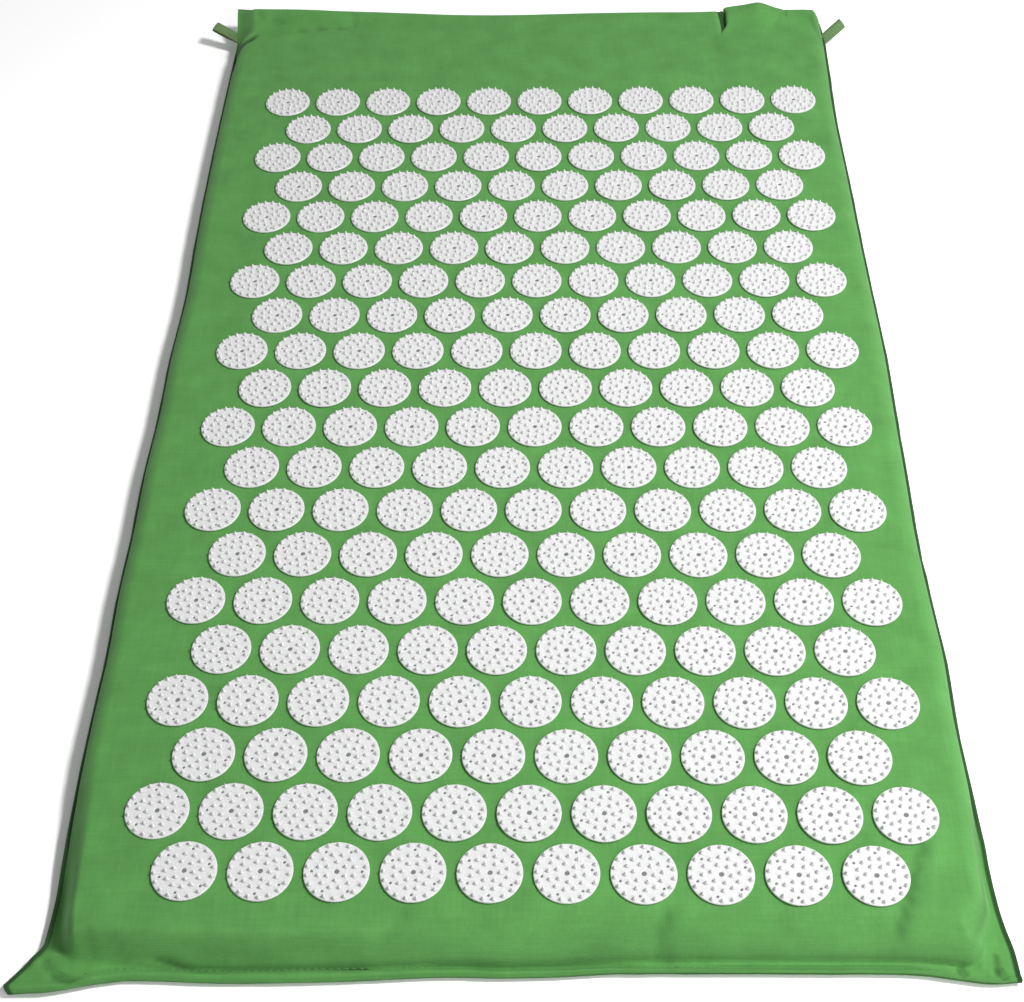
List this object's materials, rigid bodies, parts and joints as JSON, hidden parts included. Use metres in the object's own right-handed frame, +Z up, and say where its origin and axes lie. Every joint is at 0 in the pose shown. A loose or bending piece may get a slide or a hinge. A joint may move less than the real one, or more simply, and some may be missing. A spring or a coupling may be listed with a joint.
{
  "type": "acupressure mat",
  "caption": "Rectangular acupressure mat: a foam pad in a sewn cotton cover with rows of moulded plastic spike discs, a lifting closure flap and side hanging loops.",
  "frame": {"origin": "on the floor, under the middle of the mat's bounding box", "axes": "+X across the mat, +Y along it towards the end with the closure and the hanging loops, +Z up from the floor"},
  "size_m": [0.4552, 0.745, 0.0255],
  "materials": {
    "cotton": "plain-woven green cotton canvas",
    "foam": "open-cell foam, matt",
    "disc_plastic": "moulded white plastic, satin",
    "tape": "narrow woven green tape",
    "thread": "light green sewing thread"
  },
  "bodies": {
    "mat": {"foam_pad": "foam", "cover_bottom_panel": "cotton", "cover_top_panel": "cotton", "closure_facing": "cotton", "hook_tape": "tape", "near_edge_stitching": "thread", "disc_row_01": "disc_plastic", "disc_row_02": "disc_plastic", "disc_row_03": "disc_plastic", "disc_row_04": "disc_plastic", "disc_row_05": "disc_plastic", "disc_row_06": "disc_plastic", "disc_row_07": "disc_plastic", "disc_row_08": "disc_plastic", "disc_row_09": "disc_plastic", "disc_row_10": "disc_plastic", "disc_row_11": "disc_plastic", "disc_row_12": "disc_plastic", "disc_row_13": "disc_plastic", "disc_row_14": "disc_plastic", "disc_row_15": "disc_plastic", "disc_row_16": "disc_plastic", "disc_row_17": "disc_plastic", "disc_row_18": "disc_plastic", "disc_row_19": "disc_plastic", "disc_row_20": "disc_plastic"},
    "flap": {"closure_flap": "cotton", "pile_tape": "tape"},
    "loop_left": {"hanging_loop_left": "tape"},
    "loop_right": {"hanging_loop_right": "tape"}
  },
  "joints": [
    {"name": "flap_lift", "type": "hinge", "parent": "mat", "child": "flap", "pos_m": [0.158, 0.3375, 0.02085], "axis": [1, 0, 0], "range_deg": [0, 140]},
    {"name": "loop_left_swing", "type": "hinge", "parent": "mat", "child": "loop_left", "pos_m": [-0.21065, 0.349, 0.0085], "axis": [0, 1, 0], "range_deg": [-45, 60]},
    {"name": "loop_right_swing", "type": "hinge", "parent": "mat", "child": "loop_right", "pos_m": [0.21065, 0.349, 0.0085], "axis": [0, -1, 0], "range_deg": [-45, 60]}
  ]
}
